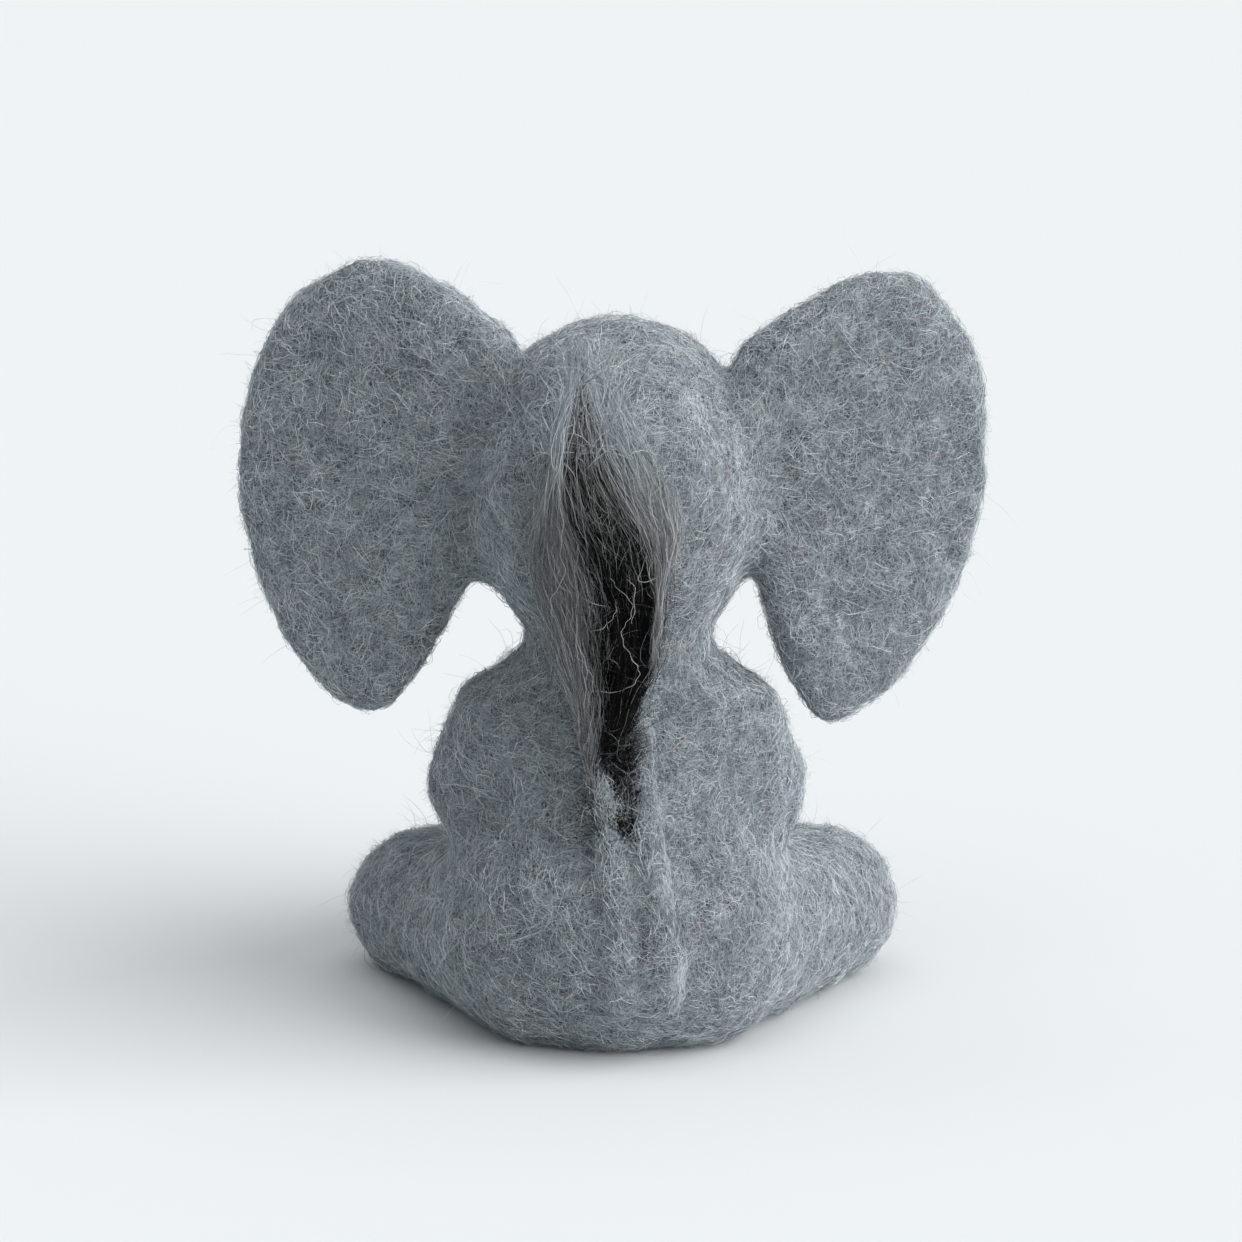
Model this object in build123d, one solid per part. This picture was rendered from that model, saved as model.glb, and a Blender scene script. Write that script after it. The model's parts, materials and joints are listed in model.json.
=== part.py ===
from build123d import *

# A needle-felted wool elephant that sits with its knees out and its tail laid up along its back.
#
# It is built as such a figure is made by hand: a firm core of white wool, a coat of grey wool felted
# over it, limbs of grey wool wrapped on soft wire, flat felted ears, bead eyes on wire shanks, and a
# tail that ends in loose locks of black and grey wool.
#
# Millimetres. +Z is up, the elephant faces -Y, and its own left side is +X. The origin is on the
# floor, under its seat. Each sub-part is written to parts/NODE.step.

import math
import os
from itertools import pairwise

# Felt and wire
COAT = 2.2  # thickness of the grey coat over the white core
GAP = 0.35  # air between felt parts that move against each other
WIRE_RADIUS = 0.6

# Torso: a pear from a pelvis ball to a chest ball, cut flat for the seat and below the neck
PELVIS, PELVIS_RADIUS = (0.0, 1.0, 14.0), 17.5
CHEST, CHEST_RADIUS = (0.0, 1.0, 36.0), 11.5
TORSO_TOP = 42.0

# Neck ball and head
NECK_PIVOT = (0.0, 0.0, 47.0)
NECK_RADIUS = 9.6
JAW, JAW_RADIUS = (0.0, 0.0, 58.0), 15.0
CROWN, CROWN_RADIUS = (0.0, 0.0, 64.8), 15.4
HEAD_BOTTOM = 49.0

# Ears: a flat slab that turns about an upright root on each side of the head
EAR_ROOT_X, EAR_ROOT_Y = 15.8, 1.5
EAR_ROOT_LOW, EAR_ROOT_HIGH = 53.5, 71.5
EAR_ROOT_RADIUS = 3.0
EAR_THICKNESS = 5.6
EAR_EDGE_RADIUS = 2.2
EAR_OUTLINE = [  # distance out from the root, and height above the floor
    (-0.6, 73.5),
    (3.5, 81.5),
    (10.0, 86.2),
    (18.0, 84.6),
    (24.4, 75.0),
    (26.3, 61.5),
    (23.2, 46.5),
    (16.0, 37.3),
    (10.8, 36.4),
    (5.8, 42.0),
    (0.6, 50.5),
]
EAR_FORWARD = {"left": 10.0, "right": 20.0}  # degrees that each ear is turned forward at rest
EAR_LEAN = {"left": 0.0, "right": 9.0}  # degrees that each ear's top leans out, about EAR_MIDDLE
EAR_DROP = {"left": 0.0, "right": 1.8}  # how much lower each ear sits than EAR_OUTLINE
EAR_MIDDLE = (12.0, 0.0, 61.0)

# Face
EYE_CENTRE, EYE_RADIUS = (8.8, -12.8, 66.0), 1.5
SHANK_RADIUS, SHANK_LENGTH = 0.35, 5.0
LIP_CENTRE, LIP_RADIUS = (0.0, -12.6, 47.6), 2.9

# Trunk: its joints from the face to the tip. A ball at each joint sits in a cup of the part before it
TRUNK = [(0.0, -14.0, 55.5), (0.0, -23.0, 46.5), (0.0, -30.0, 39.5), (0.0, -37.5, 39.0)]
TRUNK_BALLS = [6.6, 4.0, 3.1]
TRUNK_ENDS = [5.0, 4.0, 3.2]

# Arm and leg on the left side. The right side mirrors them
SHOULDER, SHOULDER_RADIUS = (11.5, 1.0, 35.5), 6.8
ELBOW, ELBOW_RADIUS = (13.3, -2.5, 26.5), 7.2
HAND, HAND_RADIUS = (6.0, -18.5, 23.5), 5.2
FOREARM_RADIUS = 5.8
HIP, HIP_RADIUS = (9.0, 4.0, 11.0), 10.4
KNEE, KNEE_RADIUS = (21.2, -19.0, 8.6), 8.4
SHIN_RADIUS = 6.9
FOOT, FOOT_RADIUS = (8.8, -35.0, 8.0), 8.0

# Tail: points up the back, and the felt's radius at each
TAIL = [(-3.0, 17.8, 9.2), (-2.6, 16.3, 22.0), (-0.3, 13.4, 36.0)]
TAIL_RADII = [4.3, 4.1, 3.2]

# Locks of loose wool that lie from the tail's end up the back of the head
BLACK_LOCK = [(-0.3, 14.2, 37.5), (0.4, 18.2, 52.0), (2.4, 20.4, 63.5), (3.4, 19.0, 72.0)]
BLACK_RADII = [2.4, 3.3, 2.6, 0.9]
GREY_LOCKS = {
    "left": [(1.6, 14.6, 38.0), (6.4, 18.6, 54.0), (6.8, 19.4, 65.0)],
    "right": [(-2.0, 14.6, 38.0), (-5.0, 18.6, 54.0), (-3.0, 19.9, 65.0)],
}
GREY_RADII = [1.6, 1.9, 0.9]

# How far some joints swing, in degrees from rest. Felt in their way is pressed back over the swing
ELBOW_SWING = (0, 40)
KNEE_SWING = (0, 45)
TRUNK_AXIS = (-1, 0, 0)  # a positive turn lifts the trunk
TRUNK_SWINGS = [(-10, 20), (-25, 25), (-30, 30)]
SWING_STEP = 14
SWING_EASE = 0.02  # each copy along a swing is this much larger, so that no two share a face


def ball(centre, radius):
    return Pos(*centre) * Sphere(radius)


def limb(start, end, start_radius, end_radius, grow=0.0):
    """Two balls and the cone that touches both, as one solid of revolution."""
    run = Vector(*end) - Vector(*start)
    low_radius, high_radius = start_radius + grow, end_radius + grow
    lean = math.asin((low_radius - high_radius) / run.length)
    pole = math.pi / 2

    def on_low(angle):
        return low_radius * math.cos(angle), low_radius * math.sin(angle)

    def on_high(angle):
        return high_radius * math.cos(angle), run.length + high_radius * math.sin(angle)

    low_cap = ThreePointArc(on_low(-pole), on_low((lean - pole) / 2), on_low(lean))
    side = Line(on_low(lean), on_high(lean))
    high_cap = ThreePointArc(on_high(lean), on_high((lean + pole) / 2), on_high(pole))
    axis = Line(on_high(pole), on_low(-pole))
    profile = make_face(Plane.XZ * (low_cap + side + high_cap + axis))
    return Plane(origin=start, z_dir=run) * revolve(profile, Axis.Z)


def chain(points, radii, grow=0.0):
    """Limbs end to end along points, as a list."""
    spans = zip(pairwise(points), pairwise(radii), strict=True)
    return [limb(*ends, *widths, grow=grow) for ends, widths in spans]


def fused(pieces):
    whole = pieces[0]
    for piece in pieces[1:]:
        whole = whole + piece
    return whole


def cut(part, *tools):
    for tool in tools:
        part = part - tool
    return part


def wire(*points):
    """Soft round wire bent at each point."""
    return fused(chain(points, [WIRE_RADIUS] * len(points)))


def toward(start, end, distance):
    """The point at a distance from start on the way to end."""
    step = (Vector(*end) - Vector(*start)).normalized() * distance
    return tuple(Vector(*start) + step)


def swept_room(start, end, start_radius, end_radius, axis, swing):
    """The room that a limb needs to turn about its start, as copies of it at steps of the swing."""
    first, last = swing
    steps = math.ceil((last - first) / SWING_STEP)
    rooms = []
    for i in range(steps + 1):
        room = limb(start, end, start_radius, end_radius, grow=GAP + SWING_EASE * i)
        rooms.append(room.rotate(Axis(start, axis), first + (last - first) * i / steps))
    return rooms


def mirrored(shape):
    return mirror(shape, Plane.YZ)


def both_sides(name, left):
    return {f"left_{name}": left, f"right_{name}": mirrored(left)}


def below(height):
    """Everything under a height."""
    size = 200.0
    return Pos(0, 0, height) * Box(size, size, size, align=(Align.CENTER, Align.CENTER, Align.MAX))


def above(height):
    """Everything over a height."""
    size = 200.0
    return Pos(0, 0, height) * Box(size, size, size, align=(Align.CENTER, Align.CENTER, Align.MIN))


def torso_shape(inset=0.0):
    pear = limb(PELVIS, CHEST, PELVIS_RADIUS, CHEST_RADIUS, grow=-inset)
    return pear - below(inset) - above(TORSO_TOP)


def head_shape(inset=0.0):
    """An egg cut flat below, with a cup for the neck ball."""
    egg = limb(JAW, CROWN, JAW_RADIUS, CROWN_RADIUS, grow=-inset)
    return egg - below(HEAD_BOTTOM + inset) - ball(NECK_PIVOT, NECK_RADIUS + GAP + inset)


def ear_root(grow=0.0):
    low, high = [(EAR_ROOT_X, EAR_ROOT_Y, height) for height in (EAR_ROOT_LOW, EAR_ROOT_HIGH)]
    return limb(low, high, EAR_ROOT_RADIUS, EAR_ROOT_RADIUS, grow=grow)


def ear(side):
    outline = make_face(Plane.XZ * Spline(EAR_OUTLINE, periodic=True))
    outline = Pos(0, 0, -EAR_DROP[side]) * outline.rotate(Axis(EAR_MIDDLE, (0, 1, 0)), EAR_LEAN[side])
    slab = extrude(outline, EAR_THICKNESS / 2, both=True)
    rim = slab.edges().filter_by(lambda edge: edge.length > 4 * EAR_THICKNESS)
    slab = fillet(rim, EAR_EDGE_RADIUS).rotate(Axis.Z, -EAR_FORWARD[side])
    left = Pos(EAR_ROOT_X, EAR_ROOT_Y, 0) * slab + ear_root()
    return left if side == "left" else mirrored(left)


def bead_eye():
    """A glass bead set in the felt, on a wire shank that runs back into the core."""
    inward = Vector(*CROWN) - Vector(*EYE_CENTRE)
    end_align = (Align.CENTER, Align.CENTER, Align.MIN)
    shank = Cylinder(SHANK_RADIUS, EYE_RADIUS + SHANK_LENGTH, align=end_align)
    return ball(EYE_CENTRE, EYE_RADIUS) + Plane(origin=EYE_CENTRE, z_dir=inward) * shank


def armature():
    """The torso's wires: a spine, with the arms', the legs' and the tail's wires twisted on to it."""
    shoulders = (0.0, PELVIS[1], 33.0)
    hips = (0.0, PELVIS[1], 9.2)
    below_neck = (0.0, PELVIS[1], NECK_PIVOT[2] - NECK_RADIUS - GAP - 2 * WIRE_RADIUS)
    elbow_end = toward(ELBOW, SHOULDER, FOREARM_RADIUS + GAP + WIRE_RADIUS)
    knee_end = toward(KNEE, HIP, SHIN_RADIUS + GAP + WIRE_RADIUS)
    tail_end = toward(TAIL[0], hips, TAIL_RADII[0] + GAP + WIRE_RADIUS)
    arm = wire(shoulders, toward(SHOULDER, shoulders, 2.0), elbow_end)
    leg = wire(hips, HIP, knee_end)
    return wire(hips, below_neck) + arm + mirrored(arm) + leg + mirrored(leg) + wire(hips, tail_end)


def torso_parts():
    forearm_swing = swept_room(ELBOW, HAND, FOREARM_RADIUS, HAND_RADIUS, (0, 0, 1), ELBOW_SWING)
    shin_swing = swept_room(KNEE, FOOT, SHIN_RADIUS, FOOT_RADIUS, (0, 0, 1), KNEE_SWING)
    frame_wire = armature()
    torso = torso_shape()
    core = torso_shape(COAT)
    hollows = [ball(NECK_PIVOT, NECK_RADIUS + GAP)]
    hollows += [*forearm_swing, *[mirrored(room) for room in forearm_swing]]
    hollows += [*chain(TAIL, TAIL_RADII, grow=GAP), frame_wire]
    thigh = cut(limb(HIP, KNEE, HIP_RADIUS, KNEE_RADIUS), torso, *shin_swing)
    upper_arm = cut(limb(SHOULDER, ELBOW, SHOULDER_RADIUS, ELBOW_RADIUS), torso, thigh, *forearm_swing)
    return {
        "torso_coat": cut(torso, *hollows) - core,
        "torso_core": cut(core, *hollows),
        "armature_wire": frame_wire,
        **both_sides("upper_arm", upper_arm - frame_wire),
        **both_sides("thigh", thigh - frame_wire),
    }


def limb_parts():
    """The forearms and lower legs, which turn at the elbows and knees."""
    forearm_wire = wire(ELBOW, HAND)
    shin_wire = wire(KNEE, FOOT)
    forearm = limb(ELBOW, HAND, FOREARM_RADIUS, HAND_RADIUS) - forearm_wire
    lower_leg = limb(KNEE, FOOT, SHIN_RADIUS, FOOT_RADIUS) - shin_wire
    return {
        **both_sides("forearm", forearm),
        **both_sides("forearm_wire", forearm_wire),
        **both_sides("lower_leg", lower_leg),
        **both_sides("lower_leg_wire", shin_wire),
    }


def head_parts():
    trunk_swing = swept_room(*TRUNK[:2], TRUNK_BALLS[0], TRUNK_ENDS[0], TRUNK_AXIS, TRUNK_SWINGS[0])
    neck_reach = NECK_RADIUS - WIRE_RADIUS
    neck_wire = wire((0, 0, NECK_PIVOT[2] - neck_reach), (0, 0, NECK_PIVOT[2] + neck_reach))
    socket = (0.0, 0.0, NECK_PIVOT[2] + NECK_RADIUS + GAP + WIRE_RADIUS)
    brow = (0.0, 0.0, CROWN[2])
    face = toward(TRUNK[0], brow, TRUNK_BALLS[0] + GAP + WIRE_RADIUS)
    head_wire = wire(socket, brow, face)
    left_eye = bead_eye()
    hollows = [ear_root(GAP), mirrored(ear_root(GAP)), *trunk_swing]
    hollows += [left_eye, mirrored(left_eye), head_wire]
    head = head_shape()
    core = head_shape(COAT)
    lip = cut(ball(LIP_CENTRE, LIP_RADIUS), head, ball(NECK_PIVOT, NECK_RADIUS + GAP), *trunk_swing)
    return {
        "neck_ball": ball(NECK_PIVOT, NECK_RADIUS) - neck_wire,
        "neck_wire": neck_wire,
        "head_coat": cut(head, *hollows) - core,
        "head_core": cut(core, *hollows),
        "head_wire": head_wire,
        "lower_lip": lip,
        **both_sides("eye", left_eye),
        "left_ear": ear("left"),
        "right_ear": ear("right"),
    }


def trunk_parts():
    """Three lengths of trunk. Each ends in a cup for the ball of the next."""
    parts = {}
    for i, name in enumerate(("base", "middle", "tip")):
        start, end = TRUNK[i], TRUNK[i + 1]
        felt = limb(start, end, TRUNK_BALLS[i], TRUNK_ENDS[i])
        reach = Vector(*start).sub(Vector(*end)).length - WIRE_RADIUS
        if name != "tip":
            radii = TRUNK_BALLS[i + 1], TRUNK_ENDS[i + 1]
            felt = cut(felt, *swept_room(end, TRUNK[i + 2], *radii, TRUNK_AXIS, TRUNK_SWINGS[i + 1]))
            reach -= radii[0] + GAP
        core_wire = wire(start, toward(start, end, reach))
        parts[f"trunk_{name}"] = felt - core_wire
        parts[f"trunk_{name}_wire"] = core_wire
    return parts


def tail_parts():
    tail_wire = wire(*TAIL)
    tail = fused(chain(TAIL, TAIL_RADII))
    black_lock = fused(chain(BLACK_LOCK, BLACK_RADII)) - tail
    grey_locks = {
        f"{side}_grey_lock": fused(chain(points, GREY_RADII)) - tail - black_lock
        for side, points in GREY_LOCKS.items()
    }
    return {"tail": tail - tail_wire, "tail_wire": tail_wire, "black_lock": black_lock, **grey_locks}


def build():
    return {**torso_parts(), **limb_parts(), **head_parts(), **trunk_parts(), **tail_parts()}


if __name__ == "__main__":
    os.makedirs("parts", exist_ok=True)
    for node, shape in build().items():
        export_step(shape, f"parts/{node}.step")
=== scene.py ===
"""The looks of the needle-felted wool elephant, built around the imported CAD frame.

Each felt part is one closed mesh, grown from a signed distance field so that the parts run into each
other as felt does. Loose wool is real geometry: thin tapered fibres combed over each part, finer ones
that stand off it, and long strands for the locks at the tail's end.

Shapes are worked out in millimetres and written to meshes in metres.
"""

import json
import math

import bpy
import numpy as np
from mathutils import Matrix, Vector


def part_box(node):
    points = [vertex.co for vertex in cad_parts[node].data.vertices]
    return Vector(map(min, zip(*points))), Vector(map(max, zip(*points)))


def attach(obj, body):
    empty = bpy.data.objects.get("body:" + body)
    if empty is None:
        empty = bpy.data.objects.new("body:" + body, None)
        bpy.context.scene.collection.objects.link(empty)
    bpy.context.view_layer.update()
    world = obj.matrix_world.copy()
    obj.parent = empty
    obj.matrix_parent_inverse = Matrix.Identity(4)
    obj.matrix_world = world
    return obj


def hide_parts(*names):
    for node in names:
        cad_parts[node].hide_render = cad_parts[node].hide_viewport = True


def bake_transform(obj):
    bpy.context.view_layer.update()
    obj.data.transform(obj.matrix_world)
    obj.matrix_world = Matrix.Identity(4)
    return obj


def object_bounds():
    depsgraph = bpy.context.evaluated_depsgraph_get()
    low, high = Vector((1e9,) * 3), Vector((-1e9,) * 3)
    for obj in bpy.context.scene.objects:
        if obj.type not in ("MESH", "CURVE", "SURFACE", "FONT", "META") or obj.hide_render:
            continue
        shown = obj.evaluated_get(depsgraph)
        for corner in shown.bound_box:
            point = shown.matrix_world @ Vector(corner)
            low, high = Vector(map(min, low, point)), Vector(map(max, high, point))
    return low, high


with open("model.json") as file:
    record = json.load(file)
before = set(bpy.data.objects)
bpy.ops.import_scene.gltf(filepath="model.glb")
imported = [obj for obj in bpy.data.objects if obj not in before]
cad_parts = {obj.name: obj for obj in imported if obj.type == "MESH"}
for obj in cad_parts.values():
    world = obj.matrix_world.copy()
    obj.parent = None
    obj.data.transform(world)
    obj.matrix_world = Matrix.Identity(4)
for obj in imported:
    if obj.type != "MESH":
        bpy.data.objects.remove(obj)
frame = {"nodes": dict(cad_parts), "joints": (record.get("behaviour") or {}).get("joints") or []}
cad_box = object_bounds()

import openvdb
from mathutils import Vector

MM = 0.001

# Felt
VOXEL = 0.55
CREASE = 0.5  # the fillet between parts that only touch
SEAM = 2.5  # how far a part runs on under its neighbours
FIELD_MARGIN = 9.0
FAR = 50.0  # a distance that stands for nowhere near
SKIN_DEPTH = 0.3  # how near the whole surface a place counts as on it
SEAM_REACH = 0.8  # how far past its seam a part still bears wool
FLOOR_CLEARANCE = 0.05  # how far the felt stays off the floor

# Wool. Lengths, radii and heights in millimetres, densities in fibres per square millimetre
MAT_DENSITY = 8.6
PIT_LEVEL = -0.75  # below this level of a field of about unit size, a needle left a pit
MAT_LENGTH = (1.6, 4.8)
MAT_RADIUS = (0.015, 0.032)
HIDDEN_SHARE = 0.12  # of the density, where a neighbour covers the felt
HALOS = [  # name, density, lengths, radii, points along each fibre, curl per millimetre
    ("halo", 3.2, (0.5, 2.0), (0.012, 0.020), 3, 1.1),
    ("wisps", 0.06, (3.0, 7.0), (0.014, 0.020), 8, 0.6),
]
# shares of the three lightest tints, which the standing fibres take as a painted rim highlight
HALO_SHARES = [0.2, 0.45, 0.35]
HALO_ALPHA = 0.8
RINGS = 4  # points along each fibre of the mat
WOOL_FLOOR = 0.25  # no fibre is rooted below this height
HALO_FLOOR = 3.0  # and no standing one below this
HALO_UNDERSIDE = -0.45  # nor where the surface faces down more than this
FACES_PER_PIECE = 196000  # the most triangles in one fibre object; the export keeps a piece of this size whole

# Finishes: sRGB, from 0 to 255
WOOL_TINTS = [(112, 122, 130), (154, 164, 172), (184, 193, 199), (209, 215, 220), (232, 236, 239),
              (180, 150, 152), (170, 176, 152)]
WOOL_SHARES = [0.20, 0.26, 0.28, 0.18, 0.06, 0.010, 0.010]
BLACK_TINTS = [(5, 5, 6), (13, 13, 14), (38, 37, 39)]
BLACK_SHARES = [0.55, 0.33, 0.12]
BROWN_TINTS = [(110, 111, 112), (133, 134, 135), (155, 156, 156), (178, 178, 177)]
BROWN_SHARES = [0.30, 0.36, 0.26, 0.08]
PALE_TINT = (196, 194, 190)

# Stage: metres, and a linear colour
FLOOR_SIZE = 8.0
FLOOR_COLOR = (0.69, 0.71, 0.716, 1)


# ---------------------------------------------------------------- places from the frame

JOINTS = {joint["name"]: joint for joint in frame["joints"]}


def pivot(joint):
    return np.array(JOINTS[joint]["pos_m"]) / MM


def corners(node):
    low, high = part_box(node)
    return np.array(low) / MM, np.array(high) / MM


# ---------------------------------------------------------------- signed distances

def round_cone(start, end, start_radius, end_radius):
    """Two balls and the cone that touches both."""
    start, end = np.array(start, float), np.array(end, float)
    length = np.linalg.norm(end - start)
    along = (end - start) / length
    slope = (start_radius - end_radius) / length
    rise = math.sqrt(1 - slope * slope)

    def distance(points):
        offset = points - start
        height = offset @ along
        radial = np.linalg.norm(offset - height[:, None] * along, axis=1)
        place = height * rise - radial * slope
        low = np.hypot(radial, height) - start_radius
        high = np.hypot(radial, height - length) - end_radius
        side = radial * rise + height * slope - start_radius
        return np.where(place < 0, low, np.where(place > rise * length, high, side))

    reach = np.array([[start - start_radius, end - end_radius], [start + start_radius, end + end_radius]])
    return distance, reach[0].min(0), reach[1].max(0)


def egg(centre, radii):
    centre, radii = np.array(centre, float), np.array(radii, float)

    def distance(points):
        scaled = (points - centre) / radii
        near = np.linalg.norm(scaled, axis=1)
        steep = np.linalg.norm(scaled / radii, axis=1)
        return near * (near - 1) / np.maximum(steep, 1e-6)

    return distance, centre - radii, centre + radii


def joined(k, *shapes):
    """Shapes run together with a soft fillet of width k."""
    def distance(points):
        total = shapes[0][0](points)
        for shape in shapes[1:]:
            total = soft_min(total, shape[0](points), k)
        return total

    lows, highs = zip(*[(low, high) for _, low, high in shapes])
    return distance, np.min(lows, axis=0), np.max(highs, axis=0)


def soft_min(a, b, k):
    blend = np.clip(0.5 + 0.5 * (b - a) / k, 0, 1)
    return b + (a - b) * blend - k * blend * (1 - blend)


def spline(knots, steps, closed=False):
    """A Catmull-Rom curve through the knots."""
    knots = np.array(knots, float)
    if closed:
        padded = np.concatenate([knots[-1:], knots, knots[:2]])
    else:
        padded = np.concatenate([2 * knots[:1] - knots[1:2], knots, 2 * knots[-1:] - knots[-2:-1]])
    t = np.linspace(0, 1, steps, endpoint=False)[:, None]
    spans = []
    for a, b, c, d in zip(padded, padded[1:], padded[2:], padded[3:]):
        spans.append(0.5 * (2 * b + (c - a) * t + (2 * a - 5 * b + 4 * c - d) * t**2
                            + (3 * b - a - 3 * c + d) * t**3))
    if not closed:
        spans.append(knots[-1:])
    return np.concatenate(spans)


def outline_distance(loop, points):
    """Signed distance in the plane to a closed loop of points, negative inside."""
    best = np.full(len(points), np.inf)
    inside = np.zeros(len(points), bool)
    for start, end in zip(loop, np.roll(loop, -1, axis=0)):
        edge = end - start
        offset = points - start
        t = np.clip(offset @ edge / max(edge @ edge, 1e-12), 0, 1)
        gap = offset - t[:, None] * edge
        best = np.minimum(best, (gap * gap).sum(1))
        crosses = (start[1] > points[:, 1]) != (end[1] > points[:, 1])
        rise = end[1] - start[1]
        at = start[0] + (points[:, 1] - start[1]) * edge[0] / (rise if rise else 1e-12)
        inside ^= crosses & (points[:, 0] < at)
    return np.where(inside, -1, 1) * np.sqrt(best)


EAR_RIM = [  # distance out from the root, and height above the floor
    (15.2, 84.6), (20.0, 80.9), (23.6, 75.3), (25.6, 68.5), (26.2, 61.5), (25.3, 53.8), (22.6, 46.3),
    (18.8, 40.0), (14.6, 36.4), (11.0, 35.6), (8.2, 37.6), (5.4, 41.6), (2.6, 46.6),
]
EAR_ROOT = {  # by side: the rest of the outline, which the head covers for the most part
    1: [(0.0, 50.6), (-5.0, 54.2), (-5.0, 76.2), (-1.2, 80.2), (4.0, 84.2), (9.8, 85.8)],
    -1: [(0.0, 52.4), (-5.0, 56.0), (-5.0, 74.0), (-1.2, 78.6), (4.0, 82.8), (9.8, 85.0)],
}
EAR_MIDDLE = np.array([12.0, 61.0])
EAR_HALF_THICKNESS = 2.6
EAR_CUP = 2.4  # how far the rim curves forward
EAR_SPAN = 27.0  # over which it does


def ear(joint, side, forward, lean, drop):
    """A thick rounded slab that stands out from the head and curves a little forward at its rim."""
    root = pivot(joint)
    turn, roll = math.radians(forward), math.radians(lean)
    outward = np.array([side * math.cos(turn), -math.sin(turn)])
    facing = np.array([-side * math.sin(turn), -math.cos(turn)])
    spin = np.array([[math.cos(roll), -math.sin(roll)], [math.sin(roll), math.cos(roll)]])
    loop = (spline(EAR_ROOT[side] + EAR_RIM, 6, closed=True) - EAR_MIDDLE) @ spin + EAR_MIDDLE - (0, drop)
    step = 0.4
    low, high = loop.min(0) - 8, loop.max(0) + 8
    wide, tall = np.ceil((high - low) / step).astype(int) + 1
    grid = np.stack(np.meshgrid(np.arange(wide), np.arange(tall), indexing="ij"), -1).reshape(-1, 2)
    table = outline_distance(loop, low + grid * step).reshape(wide, tall)

    def distance(points):
        flat = points[:, :2] - root[:2]
        out = flat @ outward
        across = flat @ facing - EAR_CUP * np.clip(out / EAR_SPAN, 0, 1.2) ** 2
        place = (np.stack([out, points[:, 2]], 1) - low) / step
        place = np.clip(place, 0, [wide - 1.001, tall - 1.001])
        cell = place.astype(int)
        u, v = (place - cell).T
        i, j = cell.T
        plane = ((table[i, j] * (1 - u) + table[i + 1, j] * u) * (1 - v)
                 + (table[i, j + 1] * (1 - u) + table[i + 1, j + 1] * u) * v)
        over = np.stack([plane + EAR_HALF_THICKNESS, np.abs(across)], 1)
        outside = np.linalg.norm(np.maximum(over, 0), axis=1)
        return outside + np.minimum(over.max(1), 0) - EAR_HALF_THICKNESS

    reach = np.array([[root[0] + side * u * math.cos(turn), root[1] - u * math.sin(turn) + w]
                      for u in (-6, 28) for w in (-6, 4)])
    lower = np.array([*reach.min(0), loop[:, 1].min()])
    upper = np.array([*reach.max(0), loop[:, 1].max()])
    return distance, lower, upper


def lumps(points, seed, scale, count=10):
    """A smooth uneven field of about unit size, from waves in random directions."""
    rng = np.random.default_rng(seed)
    ways = rng.normal(size=(count, 3))
    ways *= (rng.uniform(0.7, 1.4, count) * 2 * math.pi / scale / np.linalg.norm(ways, axis=1))[:, None]
    phases = rng.uniform(0, 2 * math.pi, count)
    return np.sin(points @ ways.T + phases).sum(1) / math.sqrt(count / 2)


# ---------------------------------------------------------------- the felt parts

class Part:
    """A felt part: its shape, its body, and how it joins its neighbours.

    joins names the parts that it runs into with a soft fillet, whose width is fillet. bend holds a body and
    two points, which are not used; a part that has one is left unparented, with its place baked in. axis is
    the line that its wool is wound round, if any.
    """

    def __init__(self, shape, body, joins=(), fillet=5.0, bend=None, axis=None, wound=0.4):
        self.shape, self.body, self.joins, self.fillet = shape, body, joins, fillet
        self.bend, self.axis, self.wound = bend, axis, wound


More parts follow.
